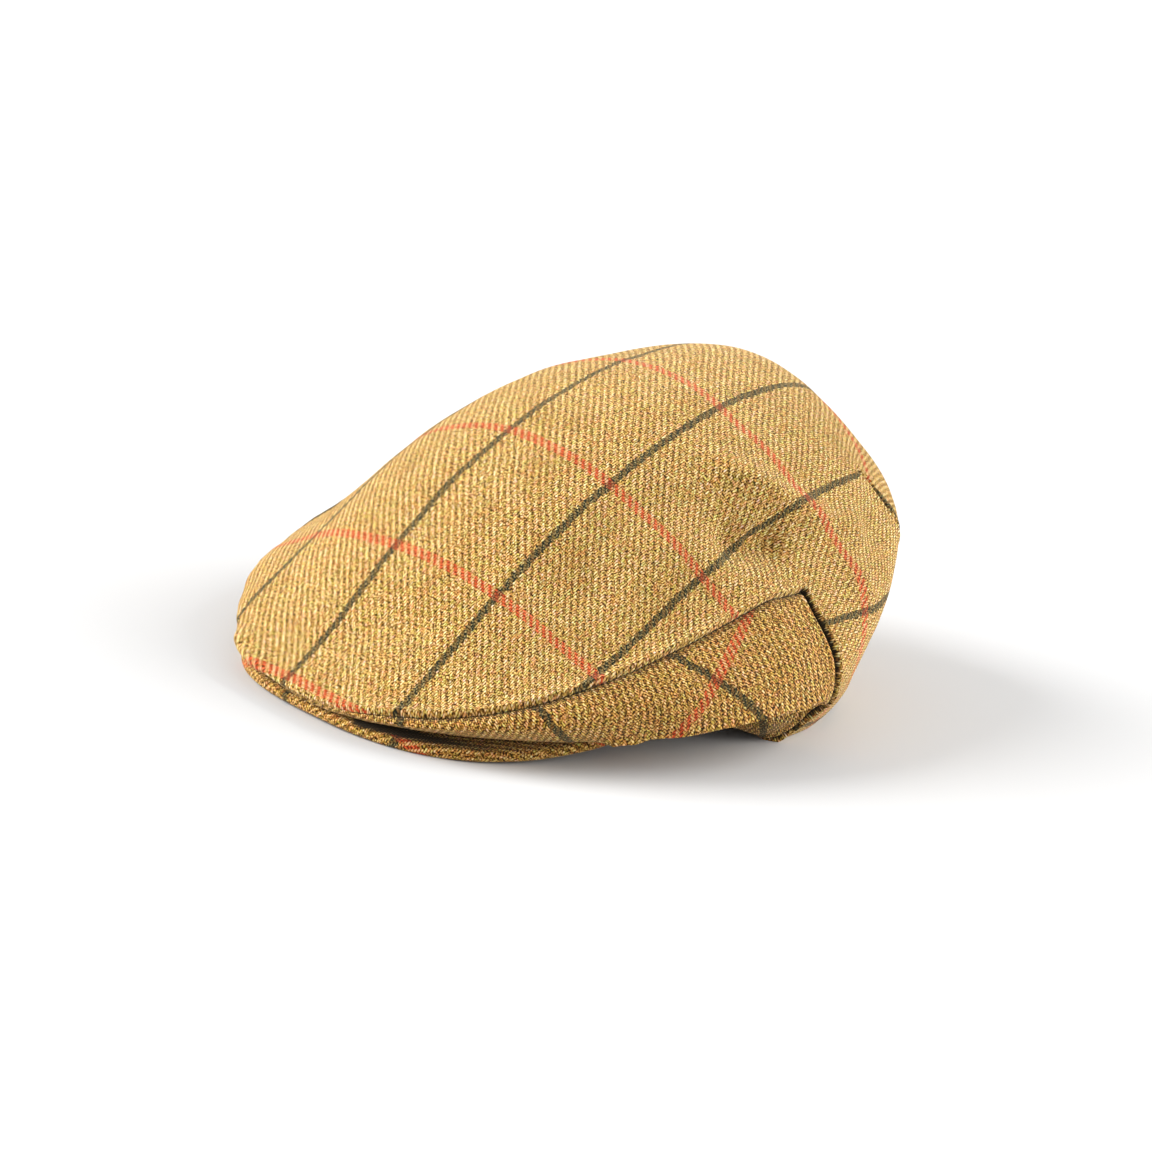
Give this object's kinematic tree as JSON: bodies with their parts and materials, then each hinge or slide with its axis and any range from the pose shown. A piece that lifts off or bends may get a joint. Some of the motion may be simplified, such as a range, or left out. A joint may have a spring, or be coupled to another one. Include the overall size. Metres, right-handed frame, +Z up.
{
  "type": "flat cap",
  "caption": "Flat cap in checked tweed: a deep rounded crown sewn to two side panels and a covered peak, hollow underneath.",
  "frame": {"origin": "centre of the cap's box, on the surface that the cap rests on", "axes": "+Z up, the peak towards -Y, the wearer's left towards +X"},
  "size_m": [0.2224, 0.2807, 0.1255],
  "materials": {
    "crown_tweed": "matte wool twill",
    "side_tweed": "matte wool twill",
    "peak_tweed": "matte wool twill"
  },
  "bodies": {
    "root": {"crown_panel": "crown_tweed", "side_panel_left": "side_tweed", "side_panel_right": "side_tweed", "peak": "peak_tweed"}
  },
  "joints": []
}
